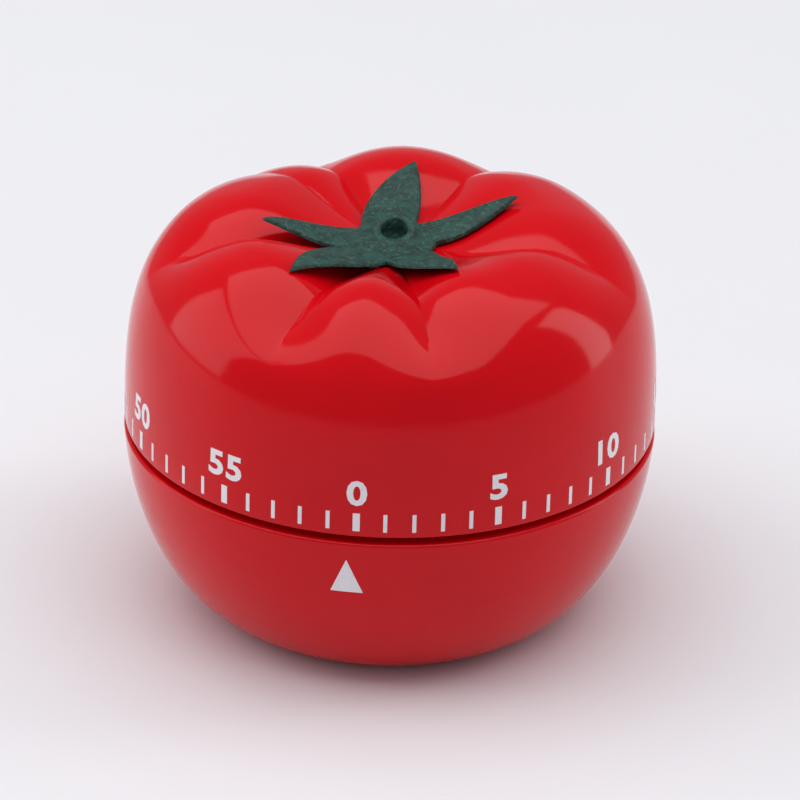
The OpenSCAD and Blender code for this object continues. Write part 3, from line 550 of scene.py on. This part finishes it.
def table_paint():
    """Pale matte table top with a faint, wide mottle."""
    pale = tuple(colours().table)
    m = Recipe("table_paint")
    mottle = m.noise(60 * MM, 2.0)
    m.feed(m.shader, {
        "Base Color": m.blend(mottle, rgba(pale, 0.98), rgba(pale)),
        "Roughness": 0.5 + 0.1 * mottle,
    })
    return m.material


# ---- thin printed shapes ------------------------------------------------------------------------

def grid_faces(rows, columns):
    """Quads of an open grid of points."""
    i, j = np.meshgrid(np.arange(rows - 1), np.arange(columns - 1), indexing="ij")
    corner = i * columns + j
    quads = np.stack([corner, corner + columns, corner + columns + 1, corner + 1], axis=-1)
    return quads.reshape(-1, 4).tolist()


def slab(place, across, height, faces):
    """A closed film of ink: the flat shape laid on a surface by place, its copy under the skin, and a wall.

    The wall stands on the edges that only one face has. Faces run anticlockwise as the print is read.
    """
    ink = sizes().ink_height
    points = np.concatenate([place(across, height, ink), place(across, height, -ink)])
    edges = {(a, b) for face in faces for a, b in zip(face, face[1:] + face[:1])}
    rim = [edge for edge in edges if edge[::-1] not in edges]
    n = len(across)
    under = [[i + n for i in reversed(face)] for face in faces]
    walls = [[b, a, a + n, b + n] for a, b in sorted(rim)]
    return points, faces + under + walls


def glyph(text, tall):
    """Filled flat faces of a number, anticlockwise, centred on its own middle and tall metres high."""
    curve = bpy.data.curves.new("number_" + text, "FONT")
    curve.body, curve.resolution_u = text, 3
    curve.offset = STROKE_GAIN
    curve.space_character = DIGIT_SPACING
    maker = bpy.data.objects.new(curve.name, curve)
    mesh = maker.to_mesh()
    points = np.zeros(len(mesh.vertices) * 3)
    mesh.vertices.foreach_get("co", points)
    points = points.reshape(-1, 3)[:, :2]
    faces = [list(face.vertices)[::1 if face.normal.z > 0 else -1] for face in mesh.polygons]
    maker.to_mesh_clear()
    bpy.data.objects.remove(maker)
    bpy.data.curves.remove(curve)
    points, faces = merged(points, faces)
    low, high = points.min(0), points.max(0)
    return (points - (low + high) / 2.0) * (tall / (high[1] - low[1])), faces


def merged(points, faces):
    """The same flat faces with points that fall together made one."""
    _, index, back = np.unique(np.round(points, 5), axis=0, return_index=True, return_inverse=True)
    back = back.reshape(-1)
    faces = [[int(back[i]) for i in face] for face in faces]
    return points[index], [face for face in faces if len(set(face)) == len(face)]


def cut_piece(points, faces, added, removed):
    """Points and faces of a closed shape with another joined on and a third cut away."""
    def made(name, shape):
        mesh = bpy.data.meshes.new(name)
        mesh.from_pydata(shape[0].tolist(), [], shape[1])
        obj = bpy.data.objects.new(name, mesh)
        bpy.context.scene.collection.objects.link(obj)
        return obj
    body, bosses, bores = made("body", (points, faces)), made("bosses", added), made("bores", removed)
    for tool, operation in ((bosses, "UNION"), (bores, "DIFFERENCE")):
        modifier = body.modifiers.new(operation, "BOOLEAN")
        modifier.operation, modifier.object, modifier.solver = operation, tool, "EXACT"
    done = body.evaluated_get(bpy.context.evaluated_depsgraph_get()).to_mesh()
    points = np.array([v.co for v in done.vertices])
    faces = [list(face.vertices) for face in done.polygons]
    for obj in (body, bosses, bores):
        bpy.data.objects.remove(obj)
    return points, faces


def rod(radius, low, high, at=(0.0, 0.0)):
    """A closed round rod between two heights, at a place in plan."""
    points, faces = closed_skin(revolved(np.array([[radius, low], [radius, high]]), ROD_COLUMNS))
    return points + np.array([at[0], at[1], 0.0]), faces


# ---- operators ----------------------------------------------------------------------------------

class TIMER_OT_base(bpy.types.Operator):
    """Build the round base with its recessed lip, bosses and screw recesses"""
    bl_idname = "timer.base"
    bl_label = "Base"

    def execute(self, context):
        s = sizes()
        height = (RIM_Z - BASE_EDGE_R) * (1.0 - np.cos(np.linspace(0.0, math.pi / 2, BASE_STEPS)))
        side = np.stack([base_radius(height), height], axis=-1)
        rim = arc((base_radius(RIM_Z) - BASE_EDGE_R, RIM_Z - BASE_EDGE_R), BASE_EDGE_R, 12.0, 90.0, 8)
        lip_r = s.dial_radius - s.wall - LIP_GAP
        lip = np.array([[lip_r, RIM_Z], [lip_r, LIP_TOP_Z],
                        [lip_r - LIP_T, LIP_TOP_Z], [lip_r - LIP_T, RIM_Z - LIP_ROOT]])
        inside = height[height > FLOOR_T + BASE_EDGE_R][::-1]
        step = 0.2 * MM
        slope = (base_radius(inside + step) - base_radius(inside - step)) / (2 * step)
        inner = np.stack([base_radius(inside) - s.base_wall * np.sqrt(1.0 + slope ** 2), inside], axis=-1)
        floor = np.array([[inner[-1, 0] - 2 * BASE_EDGE_R, FLOOR_T], [BASE_EDGE_R, FLOOR_T]])
        foot = np.array([[BASE_EDGE_R, 0.0], [FOOT_R * 0.6, 0.0]])
        outline = np.concatenate([foot, side, rim, lip, inner, floor])
        points, faces = closed_skin(revolved(outline, BASE_COLUMNS))
        places = [(MOUNT_R * math.cos(a), MOUNT_R * math.sin(a)) for a in np.radians(MOUNT_ANGLES)]
        bosses = joined([rod(BOSS_R, FLOOR_T - BASE_EDGE_R, BOSS_TOP_Z, at) for at in places])
        holes = [rod(POST_HOLE_R, POST_HOLE_Z, FLOOR_T + BASE_EDGE_R)]
        bore = np.array([[RECESS_R, -MM], [RECESS_R, RECESS_T],
                         [BORE_R, RECESS_T], [BORE_R, BOSS_TOP_Z + MM]])
        for at in places:
            hole, sides = closed_skin(revolved(bore, ROD_COLUMNS))
            holes.append((hole + np.array([at[0], at[1], 0.0]), sides))
        points, faces = cut_piece(points, faces, bosses, joined(holes))
        finish = tomato_plastic("base_plastic")
        piece("base_cup", points, faces, "case", finish, ("lower_shell",), 30.0)
        return {"FINISHED"}


class TIMER_OT_dial(bpy.types.Operator):
    """Build the lobed dial with its inner wall, and the hub that grips the shaft"""
    bl_idname = "timer.dial"
    bl_label = "Dial"

    def execute(self, context):
        s = sizes()
        outer = dial_rings(DIAL_OUTER_STEPS, s.columns, 0.0)
        inner = dial_rings(DIAL_INNER_STEPS, s.columns, s.wall)
        corner = arc((s.dial_radius - DIAL_EDGE_R, DIAL_LOW.z + DIAL_EDGE_R), DIAL_EDGE_R, -90.0, 0.0, 5)
        edge = turned(corner[:, :1], corner[:, 1:], lobe_columns(s.columns))
        above_edge = outer[:, 0, 2] > DIAL_LOW.z + 1.5 * DIAL_EDGE_R
        rings = np.concatenate([inner[::-1], edge, outer[above_edge]])
        top = inner[-1, :, 2].mean()
        socket = np.array([
            [DIAL_EDGE_R, top - SOCKET_ROOF], [SOCKET_R, top - SOCKET_ROOF], [SOCKET_R, HUB_Z],
            [HUB_R - DIAL_EDGE_R, HUB_Z], [HUB_R, HUB_Z + DIAL_EDGE_R], [HUB_R, top + DIAL_EDGE_R],
            [DIAL_EDGE_R, top + DIAL_EDGE_R]])
        hub = revolved(socket, HUB_COLUMNS)
        # One side of the socket is flat, like the shaft
        hub[:3, :, 0] = np.minimum(hub[:3, :, 0], SOCKET_FLAT)
        points, faces = joined([closed_skin(rings), closed_skin(hub)])
        finish = tomato_plastic("dial_plastic")
        piece("dial_skin", points, faces, "dial", finish, ("upper_shell",))
        return {"FINISHED"}


class TIMER_OT_leaves(bpy.types.Operator):
    """Build the leaf star with its hollow stem stub"""
    bl_idname = "timer.leaves"
    bl_label = "Leaves"

    def execute(self, context):
        s = sizes()
        bearing = np.linspace(0.0, 2 * math.pi, LEAF_COLUMNS, endpoint=False)
        reach = np.full(len(bearing), LEAF_ROOT_R)
        spine = np.zeros(len(bearing))
        rise = np.zeros(len(bearing))
        for at, length, before, after, lifted in LEAVES:
            turn = (np.degrees(bearing) - at + 180.0) % 360.0 - 180.0
            away = np.clip(1.0 - np.abs(turn) / np.where(turn < 0.0, before, after), 0.0, 1.0)
            reach = np.maximum(reach, LEAF_ROOT_R + (length - LEAF_ROOT_R) * away ** LEAF_POWER)
            spine = np.maximum(spine, away)
            rise += lifted * away ** LEAF_RISE_POWER
        seat = crown_z(np.array([0.0]))[0] + LEAF_LIFT
        top_z = seat + s.leaf_thickness
        slant = STEM_MIDDLE + STEM_SWING * np.sin(bearing)
        stem_z = np.where(STEM_LINE[:, 1:] > 0.0, STEM_LINE[:, 1:] * slant, STEM_LINE[:, 1:])
        stem = turned(STEM_LINE[:, :1], top_z + stem_z, bearing)
        share = np.linspace(0.0, 1.0, LEAF_STEPS)[:, None]
        r = STEM_R + share * (reach - STEM_R)
        under_z = crown_z(r) + rise * share ** 2 + LEAF_LIFT
        edge = np.sqrt(1.0 - share ** LEAF_EDGE_POWER)
        rib = RIB_HEIGHT * smooth((spine - RIB_START) / (1.0 - RIB_START)) * np.sin(math.pi * share) ** 0.5
        top = turned(r, under_z + (s.leaf_thickness * (1.0 - LEAF_TAPER * share) + rib) * edge, bearing)
        under = turned(r, under_z, bearing)[::-4]
        peg = turned(np.array([[PEG_R], [PEG_R]]), np.array([[seat], [seat - PEG_L]]), bearing)
        points, faces = closed_skin(np.concatenate([stem, top, under, peg]), flip=True)
        piece("leaf_star", points, faces, "dial", leaf_plastic(), ("calyx",), 50.0)
        return {"FINISHED"}


class TIMER_OT_ticks(bpy.types.Operator):
    """Print the sixty minute ticks round the dial's skirt"""
    bl_idname = "timer.ticks"
    bl_label = "Minute ticks"

    def execute(self, context):
        s = sizes()
        parts = []
        for minute in range(60):
            width = s.major_width if minute % 5 == 0 else s.minor_width
            centre = (s.zero_bearing + math.radians(6.0 * minute)) * s.dial_radius
            height, across = np.meshgrid(TICK_Z + np.linspace(-0.5, 0.5, 6) * s.tick_height,
                                         centre + np.linspace(0.5, -0.5, 4) * width, indexing="ij")
            faces = grid_faces(*across.shape)
            parts.append(slab(on_skirt, across.ravel(), height.ravel(), faces))
        points, faces = joined(parts)
        piece("minute_ticks", points, faces, "dial", print_ink("tick_ink"))
        return {"FINISHED"}


class TIMER_OT_numbers(bpy.types.Operator):
    """Print a number over every fifth tick"""
    bl_idname = "timer.numbers"
    bl_label = "Minute numbers"

    def execute(self, context):
        s = sizes()
        parts = []
        for minute in range(0, 60, 5):
            flat, faces = glyph(str(minute), s.digit_height)
            centre = (s.zero_bearing + math.radians(6.0 * minute)) * s.dial_radius
            across = centre + flat[:, 0] * s.digit_stretch
            parts.append(slab(on_skirt, across, TICK_Z + s.digit_rise + flat[:, 1], faces))
        points, faces = joined(parts)
        piece("minute_numbers", points, faces, "dial", print_ink("number_ink"))
        return {"FINISHED"}


class TIMER_OT_pointer(bpy.types.Operator):
    """Print the triangle on the base that the minutes are read against"""
    bl_idname = "timer.pointer"
    bl_label = "Pointer mark"

    def execute(self, context):
        s = sizes()
        rise, place = np.meshgrid(np.linspace(0.0, 1.0, 16), np.linspace(1.0, -1.0, 9), indexing="ij")
        half_width = (1.0 - (1.0 - POINTER_TIP) * rise) * s.pointer_width / 2.0
        across = s.pointer_bearing * s.rim_radius + place * half_width
        height = POINTER_Z + rise * s.pointer_height
        faces = grid_faces(*rise.shape)
        points, faces = slab(on_base, across.ravel(), height.ravel(), faces)
        piece("pointer_mark", points, faces, "case", print_ink("pointer_ink"))
        return {"FINISHED"}


class TIMER_OT_movement(bpy.types.Operator):
    """Give the metal parts of the movement, the bell and the screws their finishes"""
    bl_idname = "timer.movement"
    bl_label = "Movement finishes"

    def execute(self, context):
        finishes = {
            "brass": turned_metal("rolled_brass", (0.80, 0.58, 0.25), 0.26, (1.0, 14.0, 14.0), 0.5),
            "steel": turned_metal("bright_steel", (0.62, 0.62, 0.63), 0.22, (16.0, 16.0, 1.0), 0.35),
            "spring_steel": turned_metal("blued_spring", (0.33, 0.35, 0.40), 0.30, (1.0, 1.0, 18.0), 0.5),
            "bell_steel": turned_metal("nickelled_bell", (0.72, 0.70, 0.66), 0.14, (1.0, 1.0, 20.0), 0.3),
        }
        for name, obj in frame["nodes"].items():
            for place in obj.material_slots:
                place.material = finishes.get(NODE_SLOTS[name], place.material)
        return {"FINISHED"}


def panel_light(name, place, size, power):
    """A soft rectangular light aimed at the middle of the timer."""
    light = bpy.data.lights.new(name, "AREA")
    light.shape, light.size, light.size_y = "RECTANGLE", size[0], size[1]
    light.energy = power
    obj = bpy.data.objects.new(name, light)
    bpy.context.scene.collection.objects.link(obj)
    aim = (Vector(PANEL_AIM) - Vector(place)).to_track_quat("-Z", "Y")
    obj.matrix_world = Matrix.Translation(place) @ aim.to_matrix().to_4x4()


class TIMER_OT_stage(bpy.types.Operator):
    """Set the pale table, the soft lights and the camera"""
    bl_idname = "timer.stage"
    bl_label = "Stage"

    def execute(self, context):
        mesh = bpy.data.meshes.new("table_top")
        corners = [(-TABLE_HALF, -TABLE_HALF, 0), (TABLE_HALF, -TABLE_HALF, 0),
                   (TABLE_HALF, TABLE_HALF, 0), (-TABLE_HALF, TABLE_HALF, 0)]
        mesh.from_pydata(corners, [], [(0, 1, 2, 3)])
        mesh.materials.append(table_paint())
        table = bpy.data.objects.new("table_top", mesh)
        context.scene.collection.objects.link(table)
        context.scene.view_settings.view_transform = "Standard"
        world = bpy.data.worlds.new("studio")
        context.scene.world = world
        world.use_nodes = True
        sky = world.node_tree.nodes["Background"]
        sky.inputs["Color"].default_value = SKY_COLOUR
        sky.inputs["Strength"].default_value = SKY_STRENGTH
        for panel in PANELS:
            panel_light(*panel)
        set_camera()
        return {"FINISHED"}


def turned_pair(first, second, angle):
    """Two perpendicular directions turned in their own plane, the first away from the second."""
    angle = math.radians(angle)
    return (first * math.cos(angle) - second * math.sin(angle),
            first * math.sin(angle) + second * math.cos(angle))


def set_camera():
    """Camera on a sphere round the scale's middle, by azimuth, elevation and distance, then trimmed."""
    camera = bpy.data.cameras.new("camera")
    camera.lens, camera.sensor_width = LENS, SENSOR
    camera.clip_start, camera.clip_end = 0.05, 20.0
    obj = bpy.data.objects.new("camera", camera)
    bpy.context.scene.collection.objects.link(obj)
    bpy.context.scene.camera = obj
    azimuth, elevation = math.radians(CAMERA_AZIMUTH), math.radians(CAMERA_ELEVATION)
    back = Vector((math.sin(azimuth) * math.cos(elevation), -math.cos(azimuth) * math.cos(elevation),
                   math.sin(elevation)))
    right, ahead = Vector((math.cos(azimuth), math.sin(azimuth), 0.0)), -back
    up = right.cross(ahead)
    pan, tilt, roll = CAMERA_TURNS
    right, ahead = turned_pair(right, ahead, pan)
    up, ahead = turned_pair(up, ahead, tilt)
    right, up = turned_pair(right, up, roll)
    axes = Matrix((right, up, -ahead)).transposed().to_4x4()
    obj.matrix_world = Matrix.Translation(Vector((0.0, 0.0, TICK_Z)) + back * CAMERA_DISTANCE) @ axes


class TIMER_PT_sidebar(bpy.types.Panel):
    """Sizes, colours and builders of the kitchen timer"""
    bl_idname = "TIMER_PT_sidebar"
    bl_label = "Tomato Kitchen Timer"
    bl_space_type = "VIEW_3D"
    bl_region_type = "UI"
    bl_category = "Timer"

    def draw(self, context):
        for group in (context.scene.timer_sizes, context.scene.timer_colours):
            for name in group.__annotations__:
                self.layout.prop(group, name)
        for cls in OPERATORS:
            self.layout.operator(cls.bl_idname)


OPERATORS = (TIMER_OT_stage, TIMER_OT_base, TIMER_OT_dial, TIMER_OT_leaves, TIMER_OT_ticks, TIMER_OT_numbers,
             TIMER_OT_pointer, TIMER_OT_movement)
CLASSES = (TimerSizes, TimerColours) + OPERATORS + (TIMER_PT_sidebar,)


def register():
    for cls in CLASSES:
        bpy.utils.register_class(cls)
    bpy.types.Scene.timer_sizes = PointerProperty(type=TimerSizes)
    bpy.types.Scene.timer_colours = PointerProperty(type=TimerColours)


def unregister():
    del bpy.types.Scene.timer_colours
    del bpy.types.Scene.timer_sizes
    for cls in reversed(CLASSES):
        bpy.utils.unregister_class(cls)


def main():
    register()
    bpy.ops.timer.stage()
    bpy.ops.timer.base()
    bpy.ops.timer.dial()
    bpy.ops.timer.leaves()
    bpy.ops.timer.ticks()
    bpy.ops.timer.numbers()
    bpy.ops.timer.pointer()
    bpy.ops.timer.movement()


if __name__ == "__main__":
    main()
